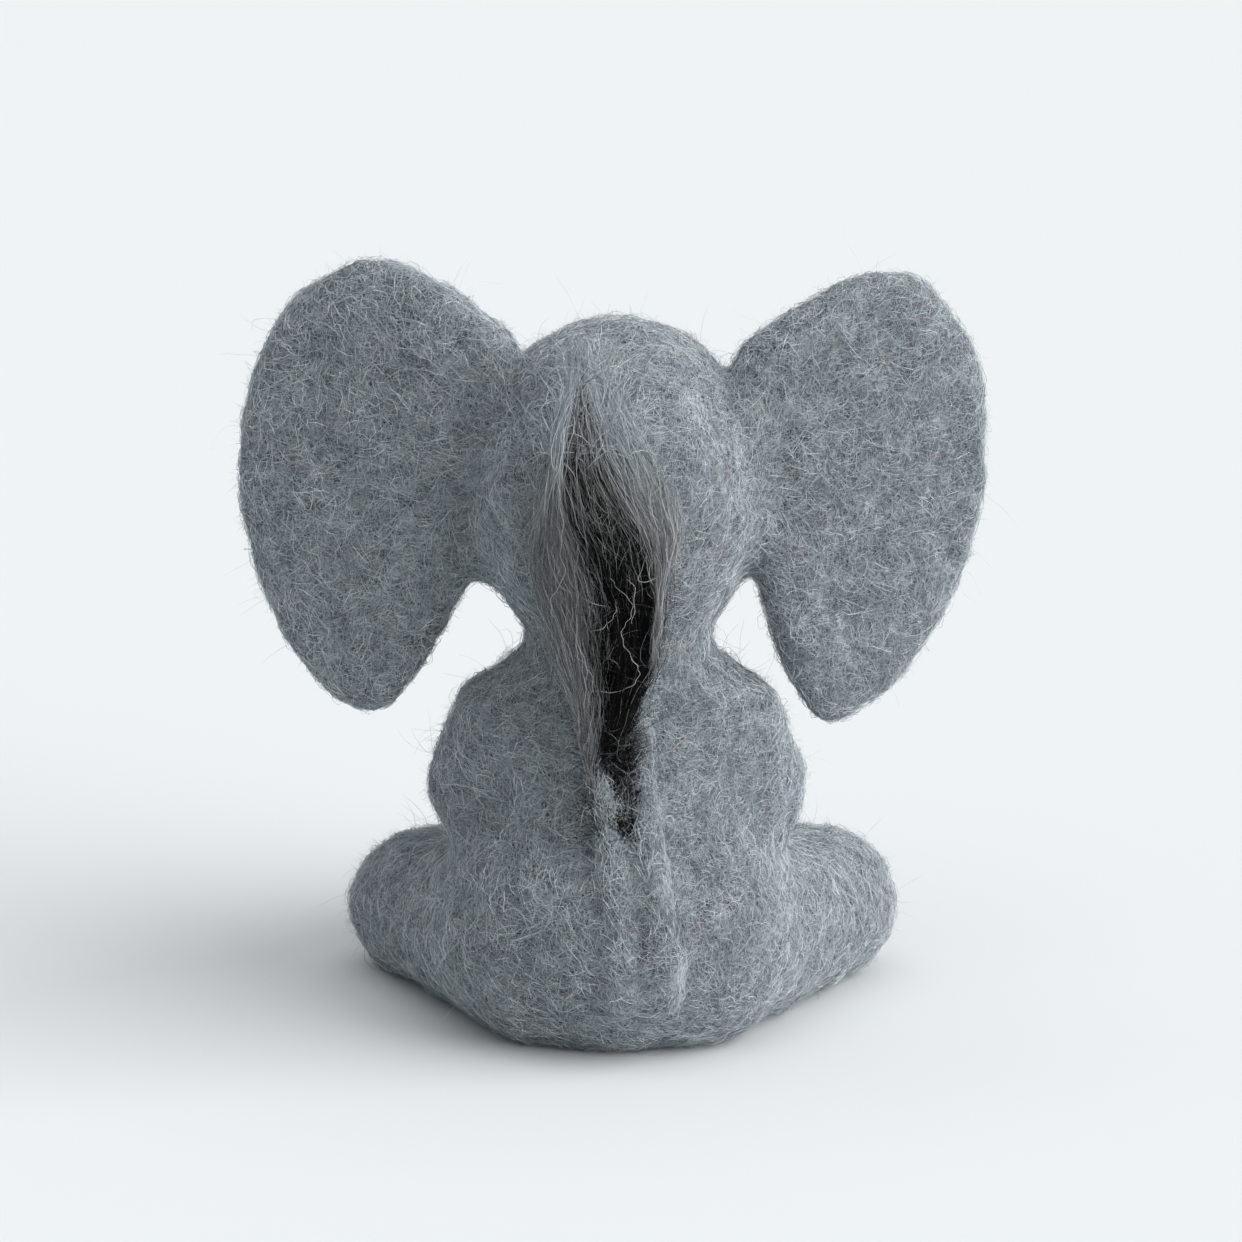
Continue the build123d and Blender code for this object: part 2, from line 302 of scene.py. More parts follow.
def felt_parts():
    """Each felt part, by the CAD part that it stands for."""
    torso_low, torso_high = corners("torso_coat")
    middle_y = (torso_low[1] + torso_high[1]) / 2
    neck = pivot("head_nod")
    crown_z = corners("head_coat")[1][2]
    pelvis_width = (torso_high[0] - torso_low[0]) / 2
    torso = joined(
        6.0,
        egg((0, middle_y + 1.2, 13.8), (pelvis_width + 0.9, 17.0, 16.4)),
        egg((0, middle_y, 32.0), (12.8, 11.4, 14.0)),
        round_cone((0, middle_y, 30), (-0.3, 0.3, 43), 10.0, 7.6),
    )
    head = joined(
        4.0,
        egg((0, 0, crown_z - 19.2), (15.6, 15.8, 18.3)),
        egg((0, -5, crown_z - 23.2), (13, 12, 12.4)),
    )
    left_ear, right_ear = pivot("left_ear_flap"), pivot("right_ear_flap")
    parts = {
        "torso_coat": Part(torso, "torso"),
        "head_coat": Part(head, "head", ("neck_ball", "torso_coat"), 3.2,
                          bend=("neck", (0, 0, 44.5), (0, 0, 52.5))),
        "neck_ball": Part(egg(neck, (9.3, 9.6, 9.2)), "neck", ("torso_coat",), 4.0,
                          bend=("torso", (0, 0, 38.5), (0, 0, 44.0))),
        "lower_lip": Part(egg((0, -13.2, 47.6), (3.4, 3.2, 2.2)), "head", ("head_coat",), 1.5),
        "left_ear": Part(ear("left_ear_flap", 1, 9.0, 0.0, 0.0), "left_ear", ("head_coat",), 3.4,
                         bend=("head", left_ear + (-2.0, 0, 0), left_ear + (3.5, 0, 0))),
        "right_ear": Part(ear("right_ear_flap", -1, 17.0, 9.0, 1.3), "right_ear", ("head_coat",), 3.0,
                          bend=("head", right_ear + (2.0, 0, 0), right_ear + (-3.5, 0, 0))),
    }
    trunk = [pivot(name) for name in ("trunk_lift", "trunk_bend", "trunk_curl")]
    trunk.append(np.array([0, corners("trunk_tip")[0][1] + 3.2, trunk[2][2] - 0.4]))
    names = ("head", "trunk_base", "trunk_middle", "trunk_tip")
    joins = ("head_coat", *names[1:])
    for i, radii in enumerate(((6.9, 5.0), (5.0, 4.0), (4.0, 3.3))):
        start, end = trunk[i], trunk[i + 1]
        axis = end - start
        parts[names[i + 1]] = Part(round_cone(start, end, *radii), names[i + 1], (joins[i],),
                                   (3.5, 1.2, 1.2)[i], bend=(names[i], start, start + axis * 0.45), axis=axis)
    for side, name in ((1, "left"), (-1, "right")):
        elbow, knee = pivot(f"{name}_elbow"), pivot(f"{name}_knee")
        shoulder = np.array([side * 11.7, 1.2, 33.8])
        hip = np.array([side * 9.0, 4.0 + (side < 0) * 1.0, 10.2])
        low, high = corners(f"{name}_forearm")
        hand = np.array([(low[0] if side > 0 else high[0]) + side * 5.2, low[1] + 5.2, low[2] + 5.2])
        low, high = corners(f"{name}_lower_leg")
        foot = np.array([(low[0] if side > 0 else high[0]) + side * 8.0, low[1] + 8.0, low[2] + 8.0])
        bicep = round_cone(shoulder, elbow + (side * 0.5, 0, 0.2), 6.5, 6.8)
        parts[f"{name}_upper_arm"] = Part(bicep, "torso", ("torso_coat",), 5.5, axis=elbow - shoulder)
        forearm = round_cone(elbow, hand, 6.4, 5.4)
        along = hand - elbow
        parts[f"{name}_forearm"] = Part(forearm, f"{name}_forearm", (f"{name}_upper_arm",), 1.5, axis=along,
                                        bend=("torso", elbow + along * 0.05, elbow + along * 0.5))
        bent = knee + ((1.3, -0.3, -1.2) if side > 0 else (-2.3, 1.2, -0.7))
        thigh = round_cone(hip, bent, 10.3, 7.8 if side > 0 else 8.2)
        parts[f"{name}_thigh"] = Part(thigh, "torso", ("torso_coat",), 4.0, axis=knee - hip)
        sole = egg(foot + (0, -1.0, 0.4), (7.6, 7.4, 8.2))
        shin = joined(2.0, round_cone(bent, foot, 7.8, 7.5), sole)
        along = foot - knee
        parts[f"{name}_lower_leg"] = Part(shin, f"{name}_lower_leg", (f"{name}_thigh",), 1.2, axis=along,
                                          bend=("torso", knee + along * 0.05, knee + along * 0.45))
    parts["tail"] = tail_part()
    return parts


def tail_part():
    """A flattened rope: a cord down one edge, round the base and up the other, with a lower middle."""
    base = pivot("tail_lift")
    top = corners("tail")[1][2]
    knots = np.array([(-2.5, base[1] + 0.4, 8.9), (-2.8, base[1] + 1.0, 12.6), (-2.1, base[1] + 0.3, 19.5),
                      (-0.9, base[1] - 2.5, 28.5), (-0.2, base[1] - 4.4, top - 2.2)])
    half = (1.8, 2.1, 1.9, 2.2, 2.3)
    cord = (2.1, 1.9, 1.7, 1.3, 1.0)
    middle = (2.7, 2.5, 2.3, 2.3, 2.3)
    runs = [round_cone(knots[0] + (-half[0], 0, -0.6), knots[0] + (half[0], 0, -0.6), 2.0, 2.0)]
    for i in range(4):
        runs.append(round_cone(knots[i] + (0, -1.4, 0), knots[i + 1] + (0, -1.4, 0),
                               middle[i], middle[i + 1]))
        for side in (-1, 1):
            low, high = knots[i] + (side * half[i], 0, 0), knots[i + 1] + (side * half[i + 1], 0, 0)
            runs.append(round_cone(low, high, cord[i], cord[i + 1]))
    return Part(joined(0.9, *runs), "tail", ("torso_coat",), 1.1, axis=np.array([0.1, 0, 1.0]), wound=0.0,
                bend=("torso", (0, 0, 6.5), (0, 0, 15.0)))


class Field:
    """Distances sampled on a regular grid, read back with smooth interpolation."""

    def __init__(self, values, origin, step):
        self.values, self.origin, self.step = values, origin, step

    def at(self, points):
        place = (points - self.origin) / self.step
        place = np.clip(place, 0, np.array(self.values.shape) - 1.001)
        cell = place.astype(np.int64)
        frac = place - cell
        x, y, z = cell.T
        fx, fy, fz = frac.T
        v = self.values
        c00 = v[x, y, z] * (1 - fx) + v[x + 1, y, z] * fx
        c10 = v[x, y + 1, z] * (1 - fx) + v[x + 1, y + 1, z] * fx
        c01 = v[x, y, z + 1] * (1 - fx) + v[x + 1, y, z + 1] * fx
        c11 = v[x, y + 1, z + 1] * (1 - fx) + v[x + 1, y + 1, z + 1] * fx
        return (c00 * (1 - fy) + c10 * fy) * (1 - fz) + (c01 * (1 - fy) + c11 * fy) * fz

    def normal(self, points):
        gap = self.step
        slopes = [self.at(points + axis * gap) - self.at(points - axis * gap) for axis in np.eye(3)]
        normal = np.stack(slopes, 1)
        return normal / np.maximum(np.linalg.norm(normal, axis=1, keepdims=True), 1e-9)


class Felt:
    """All felt parts on one grid: the whole surface, and each part's own share of it."""

    def __init__(self, parts):
        lows = np.min([part.shape[1] for part in parts.values()], axis=0) - FIELD_MARGIN
        highs = np.max([part.shape[2] for part in parts.values()], axis=0) + FIELD_MARGIN
        self.origin = lows
        self.size = np.ceil((highs - lows) / VOXEL).astype(int) + 1
        self.total = np.full(self.size, FAR, np.float32)
        self.nearest = np.full(self.size, FAR, np.float32)
        self.second = np.full(self.size, FAR, np.float32)
        self.blocks, self.own = {}, {}
        for name, part in parts.items():
            self.add(name, part, parts)
        places = self.points(tuple(slice(0, n) for n in self.size)).reshape(-1, 3)
        uneven = 0.12 * lumps(places, 3, 9.0) + 0.07 * lumps(places, 5, 3.4)
        self.total += uneven.reshape(self.size).astype(np.float32)
        self.field = Field(self.total, self.origin, VOXEL)

    def points(self, block):
        axes = [np.arange(s.start, s.stop) * VOXEL + o for s, o in zip(block, self.origin)]
        return np.stack(np.meshgrid(*axes, indexing="ij"), -1)

    def add(self, name, part, parts):
        distance, low, high = part.shape
        first = np.maximum(((low - FIELD_MARGIN - self.origin) / VOXEL).astype(int), 0)
        last = np.minimum(np.ceil((high + FIELD_MARGIN - self.origin) / VOXEL).astype(int) + 1, self.size)
        block = tuple(slice(a, b) for a, b in zip(first, last))
        points = self.points(block)
        flat = points.reshape(-1, 3)
        own = distance(flat)
        merged = own
        for other in part.joins:
            merged = np.minimum(merged, soft_min(own, parts[other].shape[0](flat), part.fillet))
        own = own.reshape(points.shape[:3]).astype(np.float32)
        merged = merged.reshape(points.shape[:3]).astype(np.float32)
        self.blocks[name], self.own[name] = block, own
        self.total[block] = soft_min(self.total[block], merged, CREASE)
        near, second = self.nearest[block], self.second[block]
        self.second[block] = np.where(own < near, near, np.minimum(second, own))
        self.nearest[block] = np.minimum(near, own)

    def part(self, name):
        """The part's own field, which meets its neighbours along a seam at the whole surface."""
        block, own = self.blocks[name], self.own[name]
        total, near, second = self.total[block], self.nearest[block], self.second[block]
        gap = own - np.where(own <= near, second, near)
        value = np.maximum(total + np.clip(0.35 * gap, 0, 1.0), gap - SEAM)
        origin = self.origin + np.array([s.start for s in block]) * VOXEL
        return Field(value.astype(np.float32), origin, VOXEL), Field(gap, origin, VOXEL)


# ---------------------------------------------------------------- meshes

def new_object(name, points, faces, materials, tints=None):
    """A mesh object from points in millimetres and faces of three or four corners."""
    mesh = bpy.data.meshes.new(name)
    sizes = np.array([f.shape[1] for f in faces for _ in range(len(f))], np.int32)
    corners_ = np.concatenate([f.reshape(-1) for f in faces]).astype(np.int32)
    mesh.vertices.add(len(points))
    mesh.vertices.foreach_set("co", (points * MM).astype(np.float32).ravel())
    mesh.loops.add(len(corners_))
    mesh.loops.foreach_set("vertex_index", corners_)
    mesh.polygons.add(len(sizes))
    starts = np.concatenate([[0], np.cumsum(sizes)[:-1]]).astype(np.int32)
    mesh.polygons.foreach_set("loop_start", starts)
    mesh.polygons.foreach_set("use_smooth", np.ones(len(sizes), bool))
    for material in materials:
        mesh.materials.append(material)
    if tints is not None:
        mesh.polygons.foreach_set("material_index", tints.astype(np.int32))
    mesh.update(calc_edges=True)
    obj = bpy.data.objects.new(name, mesh)
    bpy.context.scene.collection.objects.link(obj)
    return obj


def skin(field):
    """The zero surface of a field, as points and quads."""
    grid = openvdb.FloatGrid(5.0)
    grid.copyFromArray(np.clip(field.values, -5, 5).astype(np.float32))
    points, quads = grid.convertToQuads()
    return points * field.step + field.origin, quads[:, ::-1]


def tubes(paths, radii, ups):
    """Closed three-sided tubes along the paths. paths is (fibres, rings, 3) and radii is (fibres, rings)."""
    count, rings = paths.shape[:2]
    along = np.gradient(paths, axis=1)
    along /= np.maximum(np.linalg.norm(along, axis=2, keepdims=True), 1e-9)
    side = np.cross(along, ups)
    side /= np.maximum(np.linalg.norm(side, axis=2, keepdims=True), 1e-9)
    up = np.cross(side, along)
    angles = np.arange(3) * 2 * math.pi / 3 + math.pi / 2
    ring = (np.cos(angles)[:, None] * side[:, :, None, :] + np.sin(angles)[:, None] * up[:, :, None, :])
    points = (paths[:, :, None, :] + radii[:, :, None, None] * ring).reshape(-1, 3)
    base = (np.arange(count) * rings * 3)[:, None, None, None]
    row = (np.arange(rings - 1) * 3)[None, :, None, None]
    around = np.array([[k, (k + 1) % 3, 3 + (k + 1) % 3, 3 + k] for k in range(3)])[None, None]
    sides = (base + row + around).reshape(-1, 4)
    ends = np.array([[2, 1, 0], [rings * 3 - 3, rings * 3 - 2, rings * 3 - 1]])
    caps = ((np.arange(count) * rings * 3)[:, None, None] + ends[None]).reshape(-1, 3)
    return points, sides, caps


def settle(piece, body, bend):
    """The piece rides on its body, or, where it has a bend, is left unparented with its place baked in."""
    if bend is None:
        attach(piece, body)
    else:
        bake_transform(piece)


def add_fibres(name, body, slot, paths, radii, ups, tints, materials, bend=None):
    """The fibres, split into objects of at most FACES_PER_PIECE triangles each. The
    fibres as objects of a size that the export keeps whole.
    """
    per_side = (paths.shape[1] - 1) * 3
    per_piece = FACES_PER_PIECE // (2 * per_side + 2)
    pieces = math.ceil(len(paths) / per_piece)
    for i in range(pieces):
        part = slice(i * per_piece, (i + 1) * per_piece)
        points, sides, caps = tubes(paths[part], radii[part], ups[part])
        index = np.concatenate([np.repeat(tints[part], per_side), np.repeat(tints[part], 2)])
        label = f"{name}_{i + 1:02d}" if pieces > 1 else name
        obj = new_object(label, points, [sides, caps], materials, index)
        settle(obj, body, bend)


# ---------------------------------------------------------------- finishes

def linear(color):
    scaled = [value / 255 for value in color]
    return [v / 12.92 if v <= 0.04045 else ((v + 0.055) / 1.055) ** 2.4 for v in scaled]


def plain_wool(name, color, rough=0.85, sheen=0.25, alpha=1.0):
    """One fibre's finish. Its colour is even, since a fibre is one colour; the mix of tints varies."""
    material = bpy.data.materials.new(name)
    material.use_nodes = True
    shader = material.node_tree.nodes["Principled BSDF"]
    shader.inputs["Base Color"].default_value = (*linear(color), 1)
    shader.inputs["Roughness"].default_value = rough
    shader.inputs["Specular IOR Level"].default_value = 0.12
    shader.inputs["Sheen Weight"].default_value = sheen
    shader.inputs["Sheen Roughness"].default_value = 0.5
    shader.inputs["Alpha"].default_value = alpha
    return material


def felt_ground(name, dark, light):
    """Matted wool: tangled streaks of light fibre over darker gaps, with a fine relief. The gaps' dark colour
    is painted shade between the fibres.
    """
    material = bpy.data.materials.new(name)
    material.use_nodes = True
    tree = material.node_tree
    nodes, links = tree.nodes, tree.links
    shader = nodes["Principled BSDF"]
    shader.inputs["Roughness"].default_value = 0.9
    shader.inputs["Specular IOR Level"].default_value = 0.15
    shader.inputs["Sheen Weight"].default_value = 0.2
    place = nodes.new("ShaderNodeTexCoord")
    streaks = []
    for turn, stretch in (((0.3, 0.2, 0.5), (1300, 1300, 6500)), ((1.3, 0.7, 2.1), (6500, 1400, 1300))):
        mapping = nodes.new("ShaderNodeMapping")
        mapping.inputs["Rotation"].default_value = turn
        mapping.inputs["Scale"].default_value = stretch
        noise = nodes.new("ShaderNodeTexNoise")
        noise.inputs["Scale"].default_value = 1.0
        noise.inputs["Detail"].default_value = 4.0
        noise.inputs["Distortion"].default_value = 1.2
        links.new(place.outputs["Object"], mapping.inputs["Vector"])
        links.new(mapping.outputs["Vector"], noise.inputs["Vector"])
        streaks.append(noise.outputs["Fac"])
    patches = nodes.new("ShaderNodeTexNoise")
    patches.inputs["Scale"].default_value = 520.0
    patches.inputs["Detail"].default_value = 3.0
    links.new(place.outputs["Object"], patches.inputs["Vector"])
    both = nodes.new("ShaderNodeMath")
    both.operation = "MAXIMUM"
    links.new(streaks[0], both.inputs[0])
    links.new(streaks[1], both.inputs[1])
    mixed = nodes.new("ShaderNodeMath")
    mixed.operation = "MULTIPLY_ADD"
    mixed.inputs[1].default_value = 0.3
    links.new(patches.outputs["Fac"], mixed.inputs[0])
    links.new(both.outputs[0], mixed.inputs[2])
    ramp = nodes.new("ShaderNodeValToRGB")
    ramp.color_ramp.elements[0].position = 0.58
    # the dark end of the ramp is painted shade in the gaps between fibres
    ramp.color_ramp.elements[0].color = (*linear(dark), 1)
    ramp.color_ramp.elements[1].position = 0.86
    ramp.color_ramp.elements[1].color = (*linear(light), 1)
    links.new(mixed.outputs[0], ramp.inputs["Fac"])
    links.new(ramp.outputs["Color"], shader.inputs["Base Color"])
    bump = nodes.new("ShaderNodeBump")
    bump.inputs["Strength"].default_value = 0.8
    bump.inputs["Distance"].default_value = 0.0003
    links.new(mixed.outputs[0], bump.inputs["Height"])
    links.new(bump.outputs["Normal"], shader.inputs["Normal"])
    return material


def hard_finish(name, color, metallic, rough, scratch_scale):
    """A polished or drawn surface with faint uneven gloss."""
    material = bpy.data.materials.new(name)
    material.use_nodes = True
    tree = material.node_tree
    shader = tree.nodes["Principled BSDF"]
    shader.inputs["Base Color"].default_value = (*linear(color), 1)
    shader.inputs["Metallic"].default_value = metallic
    noise = tree.nodes.new("ShaderNodeTexNoise")
    noise.inputs["Scale"].default_value = scratch_scale
    spread = tree.nodes.new("ShaderNodeMapRange")
    spread.inputs["To Min"].default_value = rough * 0.7
    spread.inputs["To Max"].default_value = rough * 1.4
    tree.links.new(noise.outputs["Fac"], spread.inputs["Value"])
    tree.links.new(spread.outputs["Result"], shader.inputs["Roughness"])
    return material


def tint_set(name, tints, **finish):
    return [plain_wool(f"{name}_{i + 1}", tint, **finish) for i, tint in enumerate(tints)]


# ---------------------------------------------------------------- combing

def unit(vectors):
    return vectors / np.maximum(np.linalg.norm(vectors, axis=-1, keepdims=True), 1e-9)


def seeds_on(points, quads, density, rng, keep):
    """Random places on a mesh, with its normals, where keep says so."""
    a, b, c, d = (points[quads[:, i]] for i in range(4))
    cross = np.cross(c - a, d - b)
    area = np.linalg.norm(cross, axis=1) / 2
    expected = area * density
    counts = (expected + rng.random(len(quads))).astype(int)
    face = np.repeat(np.arange(len(quads)), counts)
    u, v = rng.random((2, len(face), 1))
    places = (a[face] * (1 - u) + b[face] * u) * (1 - v) + (d[face] * (1 - u) + c[face] * u) * v
    chosen = keep(places)
    return places[chosen]


def comb(field, places, heading, length, lift, curl, rings, rng):
    """Lays fibres along the surface from their places. lift is each ring's height over the surface."""
    normal = field.normal(places)
    heading = unit(heading - (heading * normal).sum(1, keepdims=True) * normal)
    here = places - (field.at(places) - lift[:, 0])[:, None] * normal
    path, ups = [here], [normal]
    step = length / (rings - 1)
    bend = rng.normal(0, curl, len(places))
    for ring in range(1, rings):
        bend = 0.55 * bend + rng.normal(0, curl, len(places))
        turn = bend * step
        side = np.cross(normal, heading)
        heading = unit(heading * np.cos(turn)[:, None] + side * np.sin(turn)[:, None])
        here = here + heading * step[:, None]
        normal = field.normal(here)
        here = here - (field.at(here) - lift[:, ring])[:, None] * normal
        heading = unit(heading - (heading * normal).sum(1, keepdims=True) * normal)
        path.append(here)
        ups.append(normal)
    return np.stack(path, 1), np.stack(ups, 1)


def tapered(count, rings, thickest, rng):
    """Radii along fibres that are thickest in the middle."""
    radius = rng.uniform(*thickest, count)
    shape = np.sin(np.linspace(0.18, 0.90, rings) * math.pi)
    return radius[:, None] * np.maximum(shape, 0.25)


def choose(shares, count, rng):
    return rng.choice(len(shares), count, p=np.array(shares) / sum(shares))


def lay_of(part, places, normals, rng):
    """The way that the wool was laid on: wound round limbs, and in drifting patches on the rest."""
    drift = np.stack([lumps(places, seed, 11.0) for seed in (21, 22, 23)], 1)
    loose = unit(unit(drift) + 0.9 * unit(rng.normal(size=places.shape)))
    if part.axis is None:
        return loose
    along = np.broadcast_to(unit(part.axis), places.shape)
    around = unit(np.cross(along, normals)) * np.where(rng.random(len(places)) < 0.5, 1, -1)[:, None]
    return unit(around * part.wound + loose * (1 - part.wound))


def tail_lay(places, rng):
    """Up the tail over most of its length, and in hanging arcs across its base."""
    arcs = np.clip((16.0 - places[:, 2]) / 4.0, 0, 1)[:, None]
    sag = (places[:, :1] - pivot("tail_lift")[0]) * 0.32
    across = np.concatenate([np.ones_like(sag), np.zeros_like(sag), sag], 1)
    upward = np.array([0.05, 0.0, 1.0])
    return unit(unit(across) * arcs + upward * (1 - arcs) + rng.normal(0, 0.28, places.shape))


def pick_tints(places, rng):
    """Tint numbers, which gather into lighter and darker clumps."""
    clump = 0.17 * lumps(places, 31, 1.5) + 0.04 * lumps(places, 33, 8.0)
    grey = WOOL_SHARES[:5]
    bounds = np.cumsum(grey) / sum(grey)
    index = np.searchsorted(bounds, np.clip(rng.random(len(places)) + clump, 0, 0.9999))
    odd = rng.random(len(places))
    index = np.where(odd < WOOL_SHARES[5], 5, index)
    return np.where(odd > 1 - WOOL_SHARES[6], 6, index)


def mat_fibres(part, surface, places, rng):
    """Fibres matted on to a surface."""
    count = len(places)
    normals = surface.normal(places)
    heading = tail_lay(places, rng) if part.body == "tail" else lay_of(part, places, normals, rng)
    length = rng.uniform(*MAT_LENGTH, count)
    height = rng.gamma(2.0, 0.12, count)
    arch = np.sin(np.linspace(0.05, 0.95, RINGS) * math.pi)
    lift = height[:, None] * arch + rng.normal(0, 0.05, (count, RINGS)) - 0.04
    path, ups = comb(surface, places, heading, length, lift, 0.42, RINGS, rng)
    path[:, :, 2] = np.maximum(path[:, :, 2], 0.12)
    return path, tapered(count, RINGS, MAT_RADIUS, rng), ups, pick_tints(places, rng)


def halo_fibres(surface, places, lengths, thickness, rings, curl, rng):
    """Fine fibres that stand off a surface and curl."""
    count = len(places)
    normals = surface.normal(places)
    loose = unit(rng.normal(size=places.shape))
    heading = unit(normals * rng.uniform(0.05, 0.6, (count, 1)) + loose)
    heading = unit(heading + normals * np.maximum(0.1 - (heading * normals).sum(1, keepdims=True), 0))
    step = (rng.uniform(*lengths, count) / (rings - 1))[:, None]
    path = [places - normals * 0.1]
    bend = unit(rng.normal(size=places.shape)) * rng.uniform(0.3 * curl, curl, (count, 1))
    for _ in range(1, rings):
        heading = unit(heading + bend * step + rng.normal(0, 0.12, places.shape))
        path.append(path[-1] + heading * step)
    path = np.stack(path, 1)
    path[:, :, 2] = np.maximum(path[:, :, 2], 0.15)
    ups = np.broadcast_to(normals[:, None], path.shape)
    index = choose(HALO_SHARES, count, rng)
    return path, tapered(count, rings, thickness, rng), ups, index


def wool_on(name, part, felt, mesh, fields, tints, rim_highlight_fuzz, rng):
    """The combed mat and the standing halo of one part."""
    own, gap = fields
    whole = felt.field

    def shown(places):
        on_skin = np.abs(whole.at(places)) < SKIN_DEPTH
        return on_skin & (gap.at(places) < SEAM_REACH) & (places[:, 2] > WOOL_FLOOR)

    def matted(places):
        """Where the felting needle left no pit."""
        return shown(places) & (lumps(places, 51, 1.5) > PIT_LEVEL)

    def covered(places):
        return (whole.at(places) < -SKIN_DEPTH) & (own.at(places) > -0.2) & (places[:, 2] > WOOL_FLOOR)

    mats = []
    for keep, density, surface in ((matted, MAT_DENSITY, whole), (covered, MAT_DENSITY * HIDDEN_SHARE, own)):
        places = seeds_on(*mesh, density, rng, keep)
        if len(places):
            mats.append(mat_fibres(part, surface, places, rng))
    rows = [np.concatenate(row) for row in zip(*mats)]
    order = rng.permutation(len(rows[0]))
    rows = [row[order] for row in rows]
    add_fibres(f"mat_{name}", part.body, "grey_wool", *rows, tints, part.bend)
    for kind, density, lengths, thickness, rings, curl in HALOS:
        places = seeds_on(*mesh, density, rng, shown)
        places = places[(places[:, 2] > HALO_FLOOR) & (whole.normal(places)[:, 2] > HALO_UNDERSIDE)]
        if len(places):
            rows = halo_fibres(whole, places, lengths, thickness, rings, curl, rng)
            add_fibres(f"{kind}_{name}", part.body, "grey_wool", *rows, rim_highlight_fuzz, part.bend)


# ---------------------------------------------------------------- locks

LOCK_LINE = [  # height and depth of the outermost wool, from the tail's flat up the back of the head
    (20.0, 19.3), (28.5, 16.4), (32.0, 15.5), (35.0, 15.6), (38.0, 16.7), (42.0, 17.3), (48.0, 18.0),
    (54.0, 18.6), (60.0, 18.8), (64.0, 18.1), (68.0, 16.6), (72.0, 14.2), (75.0, 11.7), (77.5, 8.9),
]
# height, then the two sides of each lock
BLACK_SIDES = [(36.8, 2.2, -0.2), (38.0, 2.5, -0.8), (39.5, 2.6, -1.4), (41.6, 2.4, -2.0), (44.5, 2.3, -3.2),
               (48.1, 2.5, -3.9), (52.7, 2.8, -4.2), (57.2, 3.6, -3.9), (61.7, 5.4, -1.9), (66.3, 6.2, 1.0),
               (70.8, 5.3, 2.6), (75.0, 4.0, 3.4)]
LEFT_SIDES = [(33.5, 3.4, 2.6), (38.5, 4.1, 1.8), (41.3, 4.7, 1.6), (44.5, 5.9, 1.9), (48.1, 7.1, 2.2),
              (52.7, 8.4, 2.6), (57.2, 9.1, 3.8), (61.7, 8.2, 5.4), (66.3, 7.0, 5.9), (70.8, 6.3, 5.1),
              (75.0, 5.0, 4.2), (77.0, 4.6, 4.1)]
RIGHT_SIDES = [(46.5, -3.6, -4.1), (50.0, -4.0, -4.6), (53.9, -4.1, -4.9), (57.2, -3.7, -5.9),
               (60.0, -2.5, -6.3), (64.9, 0.3, -5.4), (69.5, 2.4, -2.9), (74.5, 3.4, 0.4), (76.5, 3.8, 2.6)]
LEAF_CURVE = 0.050  # how much the locks wrap back at their sides


def lock_place(x, z, lift):
    """A place on the outer surface of the locks. lift is how far off it."""
    heights, depths = spline(LOCK_LINE, 8).T
    middle = np.interp(z, *spline([(z, (a + b) / 2) for z, a, b in BLACK_SIDES], 8).T)
    y = np.interp(z, heights, depths) - LEAF_CURVE * (x - middle) ** 2 + lift
    return np.stack([x, y, z], -1)


def lock_body(name, node, sides, thick, material):
    """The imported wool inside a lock: a closed tapered form under its strands."""
    rows, around = 56, 18
    table = spline(sides, 8)
    z = np.linspace(table[0, 0], table[-1, 0], rows)
    left, right = np.interp(z, table[:, 0], table[:, 1]), np.interp(z, table[:, 0], table[:, 2])
    angle = np.arange(around) * 2 * math.pi / around
    middle, half = (left + right) / 2, (left - right) / 2
    x = middle[:, None] + half[:, None] * np.cos(angle)
    deep = np.minimum(thick, np.abs(half) * 1.1 + 0.15)[:, None]
    points = lock_place(x, np.broadcast_to(z[:, None], x.shape), deep * (np.sin(angle) - 1) - 0.15)
    grain = lumps(points.reshape(-1, 3) * (1, 1, 0.12), 41, 1.4).reshape(x.shape)
    points[..., 1] += 0.10 * grain
    ends = np.stack([points[0].mean(0), points[-1].mean(0)])
    index = np.arange(rows * around).reshape(rows, around)
    after = np.roll(index, -1, axis=1)
    quads = np.stack([index[:-1], after[:-1], after[1:], index[1:]], -1).reshape(-1, 4)
    low = np.stack([after[0], index[0], np.full(around, rows * around)], -1)
    high = np.stack([index[-1], after[-1], np.full(around, rows * around + 1)], -1)
    piece = new_object(name, np.concatenate([points.reshape(-1, 3), ends]),
                       [quads, np.concatenate([low, high])], [material])
    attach(piece, "tail")
    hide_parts(node)
    return points, quads


